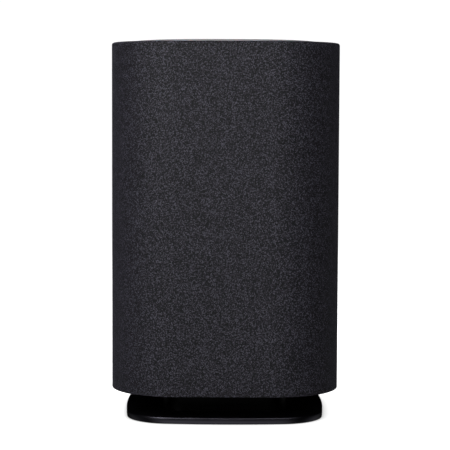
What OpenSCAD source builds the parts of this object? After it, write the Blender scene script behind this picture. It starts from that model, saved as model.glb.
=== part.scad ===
// Voice-controlled smart home hub: a fabric-wrapped speaker column on a neck and a thin base plate.
// Millimetres. The origin is the middle of the underside, +Z is up and the front faces -Y.

/* [Body] */
// Width and depth of the fabric-covered body
body_w = 104.4; // [103.4:0.2:105.4]
// Radius of the body's upright corners
body_r = 30.3; // [29:0.1:31]
// Height of the fabric's lower edge above the table
body_lift = 13.4; // [12.5:0.1:14.5]
// Height of the fabric's upper edge
rim_z = 172; // [171:0.1:173]
// Thickness of the woven fabric
skin_t = 0.8; // [0.6:0.1:0.9]
// Thickness of the perforated sleeve behind the fabric
grille_t = 1.4; // [1.2:0.1:1.5]

/* [Base] */
// Width and depth of the base plate
base_w = 92.8; // [90:0.2:94]
// Corner radius of the base plate
base_r = 22; // [20:0.5:24]
// Height of the base plate's upper face
base_top = 3.2; // [3:0.1:3.6]
// Width of the bevel round the base plate
base_bevel = 0.5; // [0.3:0.1:0.6]
// Width and depth of the neck between plate and body
neck_w = 57.8; // [56:0.2:60]
// Corner radius of the neck
neck_r = 9.4; // [9:0.1:10]
// Width of the rubber foot pad
pad_w = 86; // [84:0.5:87]

/* [Top] */
// Width and depth of the light ring that edges the top
ring_w = 86; // [85:0.5:87]
// Corner radius of the light ring
ring_r = 35; // [33:0.5:36]
// How far the light ring stands above the fabric's edge
ring_rise = 1.1; // [1:0.1:1.5]
// Width of the light ring's upper face
ring_t = 2.5; // [2.2:0.1:2.8]
// How far the control panel lies below the light ring
panel_drop = 0.2; // [0.1:0.1:0.4]

/* [Keys] */
// Radius of each top key
key_r = 6.5; // [6:0.1:7]
// Distance of each key from the middle
key_place = 18; // [17:0.5:19]
// Gap between a key and the panel
key_gap = 0.3; // [0.3:0.05:0.4]
// Radius of the microphone holes
mic_hole_r = 0.6; // [0.5:0.1:0.8]
// Radius of the circle of microphones
mic_place = 26; // [25:0.5:27]

/* [Ports] */
// Width of the rear port panel
port_w = 42; // [41:0.5:42]
// Height of the rear port panel
port_h = 21; // [20.5:0.5:21]
// Place of the Ethernet jack across the panel
ethernet_x = 9.5; // [9:0.5:9.5]
// Place of the power jack across the panel
power_x = -6.5; // [-6.5:0.5:-6]
// Place of the pairing button across the panel
pair_x = -15.5; // [-15.5:0.5:-15]

/* [Speakers] */
// Width and depth of the sealed speaker box
shell_w = 84; // [83:0.5:84]
// Wall thickness of the speaker box
shell_t = 3; // [2.5:0.5:3]
// Height of the woofer's axis
woofer_z = 91; // [90:0.5:91]
// Height of the tweeter's axis
tweeter_z = 145; // [144.5:0.5:145]
// Height of the passive radiators' axis
radiator_z = 95; // [94:1:97]

/* [Hidden] */
$fn = 96;

over = 1;            // how far a cut runs past the face it opens
fit_gap = 0.3;       // clearance round a piece that drops into place
thread_gap = 0.05;   // clearance of a screw in its pilot hole

// Screws: shank radius, head radius, head height
case_screw = [1.4, 2.7, 1.5];
small_screw = [1.0, 1.8, 0.9];
driver_screw = [1.2, 2.5, 1.4];

// Levels, from the table up
plate_z = 0.2;
pad_top = 1.1;
cover_z = body_lift + skin_t;
cover_t = 3;
cover_top = cover_z + cover_t;
board_z = cover_top + 8.8;
board_t = 1.6;
board_top = board_z + board_t;
deck_z = cover_top + 27.6;
deck_t = 3;
shell_z = deck_z + deck_t;
sleeve_top = rim_z - skin_t;
carrier_z = sleeve_top - 1.8;
frame_z = carrier_z - 7.7;
frame_floor = frame_z + 1.6;
mic_board_z = frame_floor + 2.2;
mic_board_top = mic_board_z + 1.2;
mat_z = mic_board_top + 1.8;
mat_top = mat_z + 0.6;
panel_z = mat_top + 2;
ring_top = rim_z + ring_rise;
panel_top = ring_top - panel_drop;

// Widths that follow from the body
grille_w = body_w - 2 * skin_t;
inner_w = grille_w - 2 * grille_t;
insert_w = inner_w - 0.6;
chassis_w = insert_w - 0.4;
chassis_t = 2;
lip_w = body_w - 12;
panel_w = ring_w - 2 * ring_t - 0.6;
panel_r = ring_r - ring_t - 0.3;
shelf_w = ring_w - 10;
shelf_r = ring_r - 5;
mic_board_w = ring_w + 2;
mat_r = 31.4;

// Screw places
neck_boss = 22.4;
case_boss = 35.5;
shell_boss = 25;
frame_boss = [30, 12];
board_boss = [38, 18];
mic_boss = 25.5;

// Ports, measured in Y from the middle of the body
port_face_y = body_w / 2 - 0.3;
port_floor_y = port_face_y - 4;
port_back_y = port_floor_y - 2;
port_rim = 2;
port_z = board_top + 5.9;
window_gap = 0.5;
ethernet_size = [16, 21, 13.4];
ethernet_hole = [11.8, 12, 7.2];
power_size = [9, 9, 3.3];
pair_r = 2.5;
pair_travel = 0.8;

// Speaker box
shell_r = 12;
shell_front_y = -33;
gasket_t = 1;
baffle_t = 3.5;
baffle_y = shell_front_y - gasket_t - baffle_t;
shell_h = frame_z - shell_z;
shell_mid_z = (frame_z + shell_z) / 2;
baffle_screw_x = 37.5;
baffle_screw_z = [shell_z + 6, shell_mid_z + 24, frame_z - 6];

// Woofer, in radius and in height from the front face of the baffle
woofer_flange_r = 38;
woofer_flange_t = 2.4;
woofer_hole_r = 35.6;
woofer_ear_place = 39.5;
woofer_back_z = -21.5;
coil_r = 10.3;
cone_r = 30.2;
roll_t = 0.5;

// Tweeter and passive radiators
tweeter_r = 13.6;
tweeter_hole_r = 12.8;
radiator_r = 29;
radiator_hole_r = 24.8;
radiator_plate_r = 18.1;
radiator_land_z = 1.6;

// Place of each key round the middle of the top
volume_up_angle = 0;
volume_down_angle = 180;
action_angle = 270;
mute_angle = 90;

// ---------- Shapes that repeat ----------

// Corner radius of a rounded square of width w that runs parallel to the body's outside
function parallel_r(w) = body_r - (body_w - w) / 2;

// Outline of a rectangle with round corners
module rounded_rect(w, h, r) {
  square([w - 2 * r, h], center = true);
  square([w, h - 2 * r], center = true);
  for (x = [-1, 1], y = [-1, 1])
    translate([x * (w / 2 - r), y * (h / 2 - r)]) circle(r);
}

// Upright rounded square from z0 to z1
module slab(w, r, z0, z1) {
  translate([0, 0, z0]) linear_extrude(z1 - z0) rounded_rect(w, w, r);
}

// Upright ring between two rounded squares
module ring_slab(w, r, w_in, r_in, z0, z1) {
  translate([0, 0, z0]) linear_extrude(z1 - z0) difference() {
    rounded_rect(w, w, r);
    rounded_rect(w_in, w_in, r_in);
  }
}

// Sweeps a profile round a rounded square: its x runs outwards from the edge, its y upwards
module sweep_round(w, r) {
  for (turn = [0 : 90 : 270]) rotate(turn) {
    translate([w / 2 - r, w / 2 - r]) rotate_extrude(angle = 90) translate([r, 0]) children();
    translate([w / 2, w / 2 - r]) rotate([90, 0, 0]) linear_extrude(w - 2 * r) children();
  }
}

// Upright cylinder from z0 to z1
module post(r, z0, z1) {
  translate([0, 0, z0]) cylinder(r = r, h = z1 - z0);
}

// Upright tube from z0 to z1
module tube(r, r_in, z0, z1) {
  translate([0, 0, z0]) linear_extrude(z1 - z0) difference() {
    circle(r);
    circle(r_in);
  }
}

// Block from corner to corner
module block(low, high) {
  translate(low) cube(high - low);
}

// Copies at four places that mirror each other in X and Y
module at_four(x, y) {
  for (sx = [-1, 1], sy = [-1, 1]) translate([sx * x, sy * y, 0]) children();
}

// Cross-recessed screw whose head rests on z = 0 and whose shank runs down
module screw(kind, length) {
  difference() {
    union() {
      cylinder(r = kind[1], h = kind[2]);
      post(kind[0], -length, 0);
    }
    cross_recess(kind[1], kind[2]);
  }
}

// Countersunk screw whose head is flush with z = 0 and whose shank runs down
module countersunk_screw(kind, length) {
  difference() {
    union() {
      translate([0, 0, -kind[2]]) cylinder(r1 = kind[0], r2 = kind[1], h = kind[2]);
      post(kind[0], -length, -kind[2]);
    }
    cross_recess(kind[1], 0);
  }
}

module cross_recess(head_r, top) {
  depth = 0.25 * head_r;
  for (turn = [0, 90]) rotate(turn)
    translate([0, 0, top]) cube([1.1 * head_r, 0.26 * head_r, 2 * depth], center = true);
}

// Places a shape so that its +Z looks out of the front baffle
module on_front(z) {
  translate([0, baffle_y, z]) rotate([90, 0, 0]) children();
}

// Places a shape so that its +Z looks out of the right wall of the speaker box
module on_right() {
  translate([shell_w / 2, 0, radiator_z]) rotate([0, 90, 0]) children();
}

// Extrudes an outline in X and Z along Y, from y0 to y1
module rear_slab(x, z, y0, y1) {
  translate([x, y1, z]) rotate([90, 0, 0]) linear_extrude(y1 - y0) children();
}

// Spherical cap shell: base radius r, height h, thickness t, base plane on z = 0
module cap_shell(r, h, t) {
  ball = (r * r + h * h) / (2 * h);
  rotate_extrude() intersection() {
    translate([0, h - ball]) difference() {
      circle(ball);
      circle(ball - t);
    }
    square([r, h]);
  }
}

// Half-roll rubber edge between two flat lands, on z = 0
module half_roll(land_in, roll_in, roll_out, land_out) {
  middle = (roll_in + roll_out) / 2;
  roll_r = (roll_out - roll_in) / 2;
  rotate_extrude() {
    translate([land_in, 0]) square([roll_in + roll_t - land_in, roll_t]);
    translate([roll_out - roll_t, 0]) square([land_out - roll_out + roll_t, roll_t]);
    intersection() {
      translate([middle, 0]) difference() {
        circle(roll_r);
        circle(roll_r - roll_t);
      }
      translate([roll_in, 0]) square([2 * roll_r, roll_r]);
    }
  }
}

// ---------- Base ----------

module foot_pad() {
  color("#1a1a1c") ring_slab(pad_w, 18, 62, 12, 0, pad_top);
}

module base_plate() {
  color("#2c2c30") difference() {
    slab(base_w, base_r, plate_z, base_top);
    ring_slab(pad_w + 0.4, 18.2, 61.6, 11.8, plate_z - over, pad_top);
    at_four(neck_boss, neck_boss) {
      post(case_screw[0] + fit_gap, plate_z - over, base_top + over);
      translate([0, 0, plate_z - 0.01])
        cylinder(r1 = case_screw[1] + 0.3, r2 = case_screw[0] + fit_gap, h = case_screw[2] + 0.3);
    }
    sweep_round(base_w, base_r)
      polygon([[-base_bevel - 0.2, base_top + 0.2], [0.2, base_top - base_bevel - 0.2], [0.2, base_top + 0.2]]);
  }
}

module base_screws() {
  color("#5a5a5e") at_four(neck_boss, neck_boss)
    translate([0, 0, plate_z + 0.1]) rotate([180, 0, 0]) countersunk_screw(case_screw, 7.8);
}

module neck() {
  wall = 2.2;
  color("#101012") difference() {
    union() {
      ring_slab(neck_w, neck_r, neck_w - 2 * wall, neck_r - wall, base_top, cover_z);
      at_four(neck_boss, neck_boss) post(4.6, base_top, cover_z);
    }
    at_four(neck_boss, neck_boss) post(case_screw[0] + thread_gap, base_top - over, cover_z + over);
  }
}

module neck_screws() {
  color("#5a5a5e") at_four(neck_boss, neck_boss)
    translate([0, 0, cover_top]) screw(case_screw, cover_t + 5);
}

// ---------- Body skin ----------

module bottom_cover() {
  color("#17171a") difference() {
    union() {
      slab(insert_w, parallel_r(insert_w), cover_z, cover_top);
      at_four(board_boss[0], board_boss[1]) post(3, cover_top, board_z);
    }
    at_four(board_boss[0], board_boss[1]) post(small_screw[0] + thread_gap, board_z - 6, board_z + over);
    at_four(neck_boss, neck_boss) post(case_screw[0] + fit_gap, cover_z - over, cover_top + over);
    at_four(case_boss, case_boss) {
      post(case_screw[0] + fit_gap, cover_z - over, cover_top + over);
      post(case_screw[1] + fit_gap, cover_z - over, cover_z + case_screw[2]);
    }
  }
}

module case_screws() {
  color("#5a5a5e") at_four(case_boss, case_boss)
    translate([0, 0, cover_z + case_screw[2]]) rotate([180, 0, 0]) screw(case_screw, 10);
}

module fabric_sleeve() {
  color("#313135") difference() {
    union() {
      ring_slab(body_w, body_r, grille_w, parallel_r(grille_w), body_lift, rim_z);
      ring_slab(grille_w + 0.2, parallel_r(grille_w + 0.2), lip_w, parallel_r(lip_w), body_lift, cover_z);
      ring_slab(grille_w + 0.2, parallel_r(grille_w + 0.2), ring_w + 1, ring_r + 0.5, sleeve_top, rim_z);
    }
    port_window(window_gap);
  }
}

module grille_sleeve() {
  slot = [3, 30];
  slot_pitch = [6, 38];
  color("#3a3a3e") difference() {
    ring_slab(grille_w, parallel_r(grille_w), inner_w, parallel_r(inner_w), cover_z, sleeve_top);
    port_window(window_gap);
    for (turn = [-90, 0, 90], column = [-3 : 3], row = [-1 : 1])
      rotate(turn) translate([column * slot_pitch[0], -body_w / 2, shell_mid_z + row * slot_pitch[1]])
        cube([slot[0], 8, slot[1]], center = true);
  }
}

// Cut through the rear wall round the port panel
module port_window(gap) {
  rear_slab(0, port_z, body_w / 2 - 8, body_w / 2 + over)
    rounded_rect(port_w + 2 * gap, port_h + 2 * gap, 3 + gap);
}

// ---------- Electronics ----------

module chassis_frame() {
  in_w = chassis_w - 2 * chassis_t;
  color("#26262a") difference() {
    union() {
      ring_slab(chassis_w, parallel_r(chassis_w), in_w, parallel_r(in_w), cover_top, deck_z);
      slab(chassis_w, parallel_r(chassis_w), deck_z, shell_z);
      at_four(case_boss, case_boss) post(3.6, cover_top, deck_z + 0.5);
    }
    at_four(case_boss, case_boss) post(case_screw[0] + thread_gap, cover_top - over, cover_top + 12);
    at_four(shell_boss, shell_boss) post(case_screw[0] + fit_gap, deck_z - over, shell_z + over);
    post(6, deck_z - over, shell_z + over);
    port_window(window_gap);
  }
}

module main_board() {
  half = 43;
  color("#1d4a32") translate([0, 0, board_z]) linear_extrude(board_t) difference() {
    square(2 * half, center = true);
    at_four(half, half) circle(15);
    at_four(board_boss[0], board_boss[1]) circle(small_screw[0] + fit_gap);
  }
}

// Both circuit boards are held by the same screws
module board_screws() {
  color("#b4b4b8") {
    at_four(board_boss[0], board_boss[1]) translate([0, 0, board_top]) screw(small_screw, 5);
    at_four(mic_boss, mic_boss) translate([0, 0, mic_board_top]) screw(small_screw, 3);
  }
}

// Processor, memory and amplifier packages: middle, then size
module board_chips() {
  packages = [
    [[0, -4], [15, 15, 1.4]], [[16, -4], [9, 12, 1.0]], [[-16, -4], [9, 9, 1.1]],
    [[-28, 12], [7, 7, 1.0]], [[28, 12], [7, 7, 1.0]], [[32, -14], [6, 8, 1.6]]
  ];
  color("#202022") for (chip = packages)
    translate([chip[0][0], chip[0][1], board_top + chip[1][2] / 2]) cube(chip[1], center = true);
}

module radio_shield() {
  size = [36, 10, 2.4];
  wall = 0.3;
  color("#c2c4c6") translate([0, -35, board_top]) difference() {
    translate([0, 0, size[2] / 2]) cube(size, center = true);
    translate([0, 0, size[2] / 2 - wall]) cube(size - [2 * wall, 2 * wall, 0], center = true);
  }
}

// Finned plate that stands on the processor and on four legs
module heat_spreader() {
  plate = [50, 42, 1.8];
  lift = 2.2;
  fin_h = 6;
  color("#9fa3a8") translate([0, -4, board_top]) {
    difference() {
      union() {
        translate([0, 0, lift + plate[2] / 2]) cube(plate, center = true);
        translate([0, 0, (1.4 + lift + 0.5) / 2]) cube([14, 14, lift + 0.5 - 1.4], center = true);
        at_four(22, 18) post(1.8, 0, lift + 0.5);
        for (row = [-4 : 4])
          translate([0, row * 4.6, lift + (plate[2] + fin_h) / 2]) cube([46, 1.2, plate[2] + fin_h], center = true);
      }
      translate([0, 0, -over]) cube([16, 16, 2 * (over + 1.4)], center = true);
    }
  }
}

module ethernet_jack() {
  low = [ethernet_x - ethernet_size[0] / 2, port_floor_y - ethernet_size[1], board_top];
  hole_z = board_top + 2.8;
  color("#aeb1b4") difference() {
    block(low, low + ethernet_size);
    block([ethernet_x - ethernet_hole[0] / 2, port_floor_y - ethernet_hole[1], hole_z],
          [ethernet_x + ethernet_hole[0] / 2, port_floor_y + over, hole_z + ethernet_hole[2]]);
    block([ethernet_x - 3.2, port_floor_y - ethernet_hole[1], hole_z + 2],
          [ethernet_x + 3.2, port_floor_y + over, hole_z + ethernet_hole[2] + 1.8]);
  }
}

// Oval receptacle with a contact tongue
module power_jack() {
  wall = 0.3;
  mid_z = board_top + power_size[2] / 2;
  color("#b8babc") {
    difference() {
      rear_slab(power_x, mid_z, port_floor_y - power_size[1], port_floor_y)
        rounded_rect(power_size[0], power_size[2], 1.6);
      rear_slab(power_x, mid_z, port_floor_y - 6.5, port_floor_y + over)
        rounded_rect(power_size[0] - 2 * wall, power_size[2] - 2 * wall, 1.3);
    }
    block([power_x - 3.35, port_floor_y - 7, mid_z - 0.35], [power_x + 3.35, port_floor_y - 1, mid_z + 0.35]);
  }
}

// Recessed panel in the rear of the body, with a flange that stops behind the chassis wall
module port_panel() {
  wall_y = chassis_w / 2 - chassis_t;
  flange_low = cover_top + 4;
  flange_high = deck_z - 0.2;
  color("#151517") difference() {
    union() {
      rear_slab(0, port_z, port_back_y, port_face_y) rounded_rect(port_w, port_h, 3);
      block([-port_w / 2 - 2.5, port_back_y, flange_low], [port_w / 2 + 2.5, wall_y - 0.1, flange_high]);
    }
    rear_slab(0, port_z, port_floor_y, port_face_y + over)
      rounded_rect(port_w - 2 * port_rim, port_h - 2 * port_rim, 2);
    block([ethernet_x - ethernet_size[0] / 2 - 0.2, port_back_y - over, board_top - 0.2],
          [ethernet_x + ethernet_size[0] / 2 + 0.2, port_floor_y + over, board_top + ethernet_size[2] + 0.2]);
    rear_slab(power_x, board_top + power_size[2] / 2, port_back_y - over, port_floor_y + over)
      rounded_rect(power_size[0] + 0.4, power_size[2] + 0.4, 1.8);
    rear_slab(pair_x, port_z, port_back_y - over, port_floor_y + over) circle(pair_r + 0.2);
  }
}

// Its cap stands a little out of the panel's floor, and its flange stops behind it
module pair_button() {
  color("#5c5c60") {
    rear_slab(pair_x, port_z, port_back_y - 0.5, port_floor_y + 0.4) circle(pair_r);
    rear_slab(pair_x, port_z, port_back_y - 1.2, port_back_y - 0.2) circle(pair_r + 1.1);
    rear_slab(pair_x, port_z, port_back_y - 2.4, port_back_y - 1) circle(1.2);
  }
}

module pair_switch() {
  tip_y = port_back_y - 2.4 - pair_travel - 0.1;
  color("#2a2a2c") {
    block([pair_x - 3, tip_y - 4, board_top], [pair_x + 3, tip_y - 0.5, port_z + 3]);
    rear_slab(pair_x, port_z, tip_y - 1, tip_y) circle(1);
  }
}

module antenna(side) {
  wall_x = chassis_w / 2 - chassis_t;
  color("#b0662c") scale([side, 1, 1])
    block([wall_x - 0.4, -14, cover_top + 5], [wall_x, 14, deck_z - 5]);
}

module wifi_antenna() antenna(-1);

module mesh_antenna() antenna(1);

// ---------- Speaker box ----------

module enclosure_shell() {
  in_w = shell_w - 2 * shell_t;
  boss_h = 6;
  color("#2a2a2e") difference() {
    union() {
      difference() {
        slab(shell_w, shell_r, shell_z, frame_z);
        slab(in_w, shell_r - shell_t, shell_z + shell_t, frame_z - shell_t);
      }
      at_four(shell_boss, shell_boss) post(4, shell_z + 1, shell_z + shell_t + boss_h);
      at_four(frame_boss[0], frame_boss[1]) post(4, frame_z - shell_t - boss_h, frame_z - 1);
      for (x = [-1, 1], z = baffle_screw_z)
        rear_slab(x * baffle_screw_x, z, shell_front_y, shell_front_y + 11) circle(3.5);
    }
    block([-shell_w, -shell_w, shell_z - over], [shell_w, shell_front_y, frame_z + over]);
    at_four(shell_boss, shell_boss) post(case_screw[0] + thread_gap, shell_z - over, shell_z + 7.5);
    at_four(frame_boss[0], frame_boss[1]) post(case_screw[0] + thread_gap, frame_z - 7.5, frame_z + over);
    for (x = [-1, 1], z = baffle_screw_z)
      rear_slab(x * baffle_screw_x, z, shell_front_y - over, shell_front_y + 9.5)
        circle(case_screw[0] + thread_gap);
    translate([0, 0, radiator_z]) rotate([0, 90, 0]) cylinder(r = radiator_hole_r, h = 2 * shell_w, center = true);
  }
}

// Four screws up through the chassis deck and four down through the top frame
module enclosure_screws() {
  color("#5a5a5e") {
    at_four(shell_boss, shell_boss) translate([0, 0, deck_z]) rotate([180, 0, 0]) screw(case_screw, 9);
    at_four(frame_boss[0], frame_boss[1]) translate([0, 0, frame_floor]) screw(case_screw, 8);
  }
}

module front_baffle() {
  color("#242428") difference() {
    rear_slab(0, shell_mid_z, baffle_y, baffle_y + baffle_t) rounded_rect(shell_w, shell_h, 4);
    on_front(woofer_z) {
      post(woofer_hole_r, -baffle_t - over, over);
      for (turn = [45 : 90 : 315]) rotate(turn)
        translate([woofer_ear_place, 0]) post(driver_screw[0] + thread_gap, -baffle_t - over, over);
    }
    on_front(tweeter_z) post(tweeter_hole_r, -baffle_t - over, over);
    for (x = [-1, 1], z = baffle_screw_z)
      rear_slab(x * baffle_screw_x, z, baffle_y - over, shell_front_y) circle(case_screw[0] + fit_gap);
  }
}

module baffle_gasket() {
  band = 9;
  color("#3c3c3c") difference() {
    rear_slab(0, shell_mid_z, baffle_y + baffle_t, shell_front_y) difference() {
      rounded_rect(shell_w, shell_h, 4);
      rounded_rect(shell_w - 2 * band, shell_h - 2 * band, 3);
    }
    on_front(woofer_z) post(woofer_hole_r + 1, -baffle_t - 2 - over, over);
    on_front(tweeter_z) post(tweeter_hole_r + 1, -baffle_t - 2 - over, over);
    for (x = [-1, 1], z = baffle_screw_z)
      rear_slab(x * baffle_screw_x, z, baffle_y, shell_front_y + over) circle(case_screw[0] + fit_gap);
  }
}

module baffle_screws() {
  color("#5a5a5e") for (x = [-1, 1], z = baffle_screw_z)
    translate([x * baffle_screw_x, baffle_y, z]) rotate([90, 0, 0]) screw(case_screw, baffle_t + gasket_t + 8);
}

// ---------- Woofer ----------

module woofer_basket() {
  rim_in = 33.6;
  seat_r = 27.6;
  color("#2f2f33") on_front(woofer_z) difference() {
    union() {
      rotate_extrude() polygon([
        [rim_in, woofer_flange_t], [woofer_flange_r, woofer_flange_t], [woofer_flange_r, 0], [35.2, 0],
        [seat_r, -19], [seat_r, woofer_back_z], [13.5, woofer_back_z], [13.5, -20],
        [22.4, -20], [22.4, -17], [26, -17], [rim_in, 0]
      ]);
      for (turn = [45 : 90 : 315]) rotate(turn) difference() {
        translate([woofer_ear_place, 0]) post(4.2, 0, woofer_flange_t);
        post(woofer_flange_r - 1, -over, woofer_flange_t + over);
      }
    }
    for (turn = [45 : 90 : 315]) rotate(turn)
      translate([woofer_ear_place, 0]) post(driver_screw[0] + fit_gap, -over, woofer_flange_t + over);
    for (turn = [0 : 60 : 300]) rotate(turn) block([20, -8, -16], [40, 8, -4.5]);
  }
}

module woofer_top_plate() {
  color("#8c8f93") on_front(woofer_z) tube(25, coil_r + 1, woofer_back_z - 4, woofer_back_z);
}

module woofer_magnet() {
  color("#303034") on_front(woofer_z) tube(26, 15, woofer_back_z - 14, woofer_back_z - 4);
}

module woofer_yoke() {
  color("#8c8f93") on_front(woofer_z) difference() {
    union() {
      post(25, woofer_back_z - 18, woofer_back_z - 14);
      post(coil_r - 0.9, woofer_back_z - 15, woofer_back_z);
    }
    post(3, woofer_back_z - 18 - over, woofer_back_z + over);
  }
}

// Former tube and copper winding
module woofer_voice_coil() {
  color("#b5682e") on_front(woofer_z) {
    tube(coil_r, coil_r - 0.4, -32, -9.4);
    tube(coil_r + 0.6, coil_r - 0.2, -27.5, -19.5);
  }
}

module woofer_cone() {
  rim_z0 = woofer_flange_t - 0.7;
  color("#1e1e20") on_front(woofer_z) rotate_extrude() polygon([
    [coil_r, -10.6], [cone_r - 1.6, rim_z0], [cone_r, rim_z0], [cone_r, woofer_flange_t],
    [cone_r - 1.9, woofer_flange_t], [coil_r, -9.7]
  ]);
}

module woofer_dust_cap() {
  color("#1e1e20") on_front(woofer_z) translate([0, 0, -8.4]) cap_shell(12, 3.6, 0.5);
}

module woofer_surround() {
  color("#161618") on_front(woofer_z) translate([0, 0, woofer_flange_t])
    half_roll(cone_r - 1.4, cone_r - 0.4, 34.6, 36.4);
}

// Rippled cloth ring that centres the voice coil
module woofer_spider() {
  hole_r = coil_r + thread_gap;
  ripple = [for (r = [12.5 : 0.5 : 22.5]) [r, 0.6 * sin((r - 12.5) * 108)]];
  last = len(ripple) - 1;
  color("#b8963c") on_front(woofer_z) translate([0, 0, -17]) rotate_extrude() polygon(concat(
    [[hole_r, 0]], ripple, [[24.4, 0], [24.4, roll_t]],
    [for (i = [last : -1 : 0]) ripple[i] + [0, roll_t]], [[hole_r, roll_t]]
  ));
}

module woofer_screws() {
  color("#5a5a5e") on_front(woofer_z) for (turn = [45 : 90 : 315]) rotate(turn)
    translate([woofer_ear_place, 0, woofer_flange_t]) screw(driver_screw, woofer_flange_t + baffle_t - 0.2);
}

// ---------- Tweeter ----------

module tweeter_faceplate() {
  color("#2a2a2e") on_front(tweeter_z) rotate_extrude()
    polygon([[9.8, 0], [tweeter_r, 0], [tweeter_r, 1.2], [tweeter_r - 0.8, 2], [11.6, 2], [9.8, 0.6]]);
}

module tweeter_magnet() {
  color("#3a3a3e") on_front(tweeter_z) difference() {
    post(tweeter_hole_r - 0.4, -12, -0.5);
    tube(9.5, 8, -6, over);
  }
}

// Soft dome with its own coil former
module tweeter_dome() {
  color("#26262a") on_front(tweeter_z) {
    tube(8.9, 8.5, -4.5, 0.4);
    tube(9.4, 8.7, 0, 0.4);
    translate([0, 0, 0.2]) cap_shell(8.8, 3, 0.4);
  }
}

// ---------- Passive radiators ----------

module radiator_frame() {
  color("#2f2f33") on_right() rotate_extrude() polygon([
    [22.9, -3], [radiator_hole_r - 0.2, -3], [radiator_hole_r - 0.2, 0], [radiator_r, 0],
    [radiator_r, radiator_land_z], [22.9, radiator_land_z]
  ]);
}

// Stiff plate with a tuning weight behind it
module radiator_cone() {
  color("#1e1e20") on_right() {
    post(radiator_plate_r, radiator_land_z - 1.8, radiator_land_z);
    post(8, -4.6, radiator_land_z - 1);
  }
}

module radiator_surround() {
  color("#161618") on_right() translate([0, 0, radiator_land_z])
    half_roll(radiator_plate_r - 2.3, radiator_plate_r - 0.3, 23.3, radiator_hole_r);
}

module left_radiator_frame() mirror([1, 0, 0]) radiator_frame();

module left_radiator_cone() mirror([1, 0, 0]) radiator_cone();

module left_radiator_surround() mirror([1, 0, 0]) radiator_surround();

module right_radiator_frame() radiator_frame();

module right_radiator_cone() radiator_cone();

module right_radiator_surround() radiator_surround();

// ---------- Top ----------

module top_frame() {
  pocket_w = insert_w - 6;
  color("#1c1c1f") difference() {
    union() {
      ring_slab(insert_w, parallel_r(insert_w), pocket_w, parallel_r(pocket_w), frame_z, carrier_z);
      slab(insert_w, parallel_r(insert_w), frame_z, frame_floor);
      at_four(mic_boss, mic_boss) post(3, frame_z, mic_board_z);
    }
    at_four(mic_boss, mic_boss) post(small_screw[0] + thread_gap, frame_floor - 0.6, mic_board_z + over);
    at_four(frame_boss[0], frame_boss[1]) post(case_screw[0] + fit_gap, frame_z - over, frame_floor + over);
    post(5, frame_z - over, frame_floor + over);
    for (turn = [0 : 90 : 270]) rotate(turn)
      block([pocket_w / 2 - over, -4.5, frame_floor + 1.4], [insert_w / 2 + over, 4.5, frame_floor + 3]);
  }
}

module mic_board() {
  color("#1d4a32") translate([0, 0, mic_board_z]) linear_extrude(mic_board_top - mic_board_z) difference() {
    rounded_rect(mic_board_w, mic_board_w, ring_r + 1);
    at_four(mic_boss, mic_boss) circle(small_screw[0] + fit_gap);
    circle(4);
  }
}

module microphones() {
  color("#c9b46a") for (turn = [45 : 90 : 315]) rotate(turn)
    translate([mic_place, 0, mic_board_top + 0.5]) cube([2.8, 3.6, 1], center = true);
}

// Three lamps under each side of the light ring
module ring_leds() {
  color("#e8e4d0") for (turn = [0 : 90 : 270], y = [-16, 0, 16]) rotate(turn)
    translate([(ring_w - ring_t) / 2 - 0.75, y, mic_board_top + 0.4]) cube([2, 3, 0.8], center = true);
}

module key_switches() {
  color("#2a2a2c") for (turn = [0 : 90 : 270]) rotate(turn) translate([key_place, 0, mic_board_top]) {
    translate([0, 0, 0.6]) cube([5.2, 5.2, 1.2], center = true);
    post(1.5, 1, 1.5);
  }
}

// Silicone sheet on a rim, with a nub over each switch
module key_mat() {
  color("#3a3a3c") difference() {
    union() {
      post(mat_r, mat_z, mat_top);
      tube(mat_r, mat_r - 1.6, mic_board_top, mat_z + 0.1);
      for (turn = [0 : 90 : 270]) rotate(turn) translate([key_place, 0]) post(1.6, mat_z - 0.25, mat_z + 0.1);
    }
    for (turn = [45 : 90 : 315]) rotate(turn) translate([mic_place, 0]) post(1.2, mat_z - over, mat_top + over);
  }
}

// Glossy panel with the key and microphone holes, and a skirt that holds the mat down
module control_panel() {
  bevel = 0.3;
  color("#0c0c0e") difference() {
    union() {
      slab(panel_w, panel_r, panel_z, panel_top);
      tube(mat_r, mat_r - 3, mat_top, panel_z + 0.5);
    }
    for (turn = [0 : 90 : 270]) rotate(turn)
      translate([key_place, 0]) post(key_r + key_gap, mat_top, panel_top + over);
    for (turn = [45 : 90 : 315]) rotate(turn)
      translate([mic_place, 0]) post(mic_hole_r, mat_top, panel_top + over);
    sweep_round(panel_w, panel_r)
      polygon([[-bevel - 0.2, panel_top + 0.2], [0.2, panel_top - bevel - 0.2], [0.2, panel_top + 0.2]]);
  }
}

// Translucent light guide round the top, with a shelf that the control panel sits on
module light_ring() {
  bevel = 0.4;
  guide_z = mic_board_top + 1.2;
  color("#c8ccd2") difference() {
    union() {
      ring_slab(ring_w, ring_r, ring_w - 2 * ring_t, ring_r - ring_t, guide_z, ring_top);
      ring_slab(ring_w - 1, ring_r - 0.5, shelf_w, shelf_r, carrier_z, panel_z);
    }
    sweep_round(ring_w, ring_r)
      polygon([[-bevel - 0.2, ring_top + 0.2], [0.2, ring_top - bevel - 0.2], [0.2, ring_top + 0.2]]);
  }
}

// Flange under the fabric's edge, with four clips that reach into the top frame
module top_carrier() {
  hook_x = insert_w / 2 - 3;
  color("#141416") {
    ring_slab(insert_w, parallel_r(insert_w), ring_w + 0.4, ring_r + 0.2, carrier_z, sleeve_top);
    for (turn = [0 : 90 : 270]) rotate(turn) {
      block([hook_x - 1.6, -4, frame_floor + 1.6], [hook_x - 0.3, 4, carrier_z + 0.5]);
      block([hook_x - 1, -4, frame_floor + 1.6], [hook_x + 0.7, 4, frame_floor + 2.6]);
    }
  }
}

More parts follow.
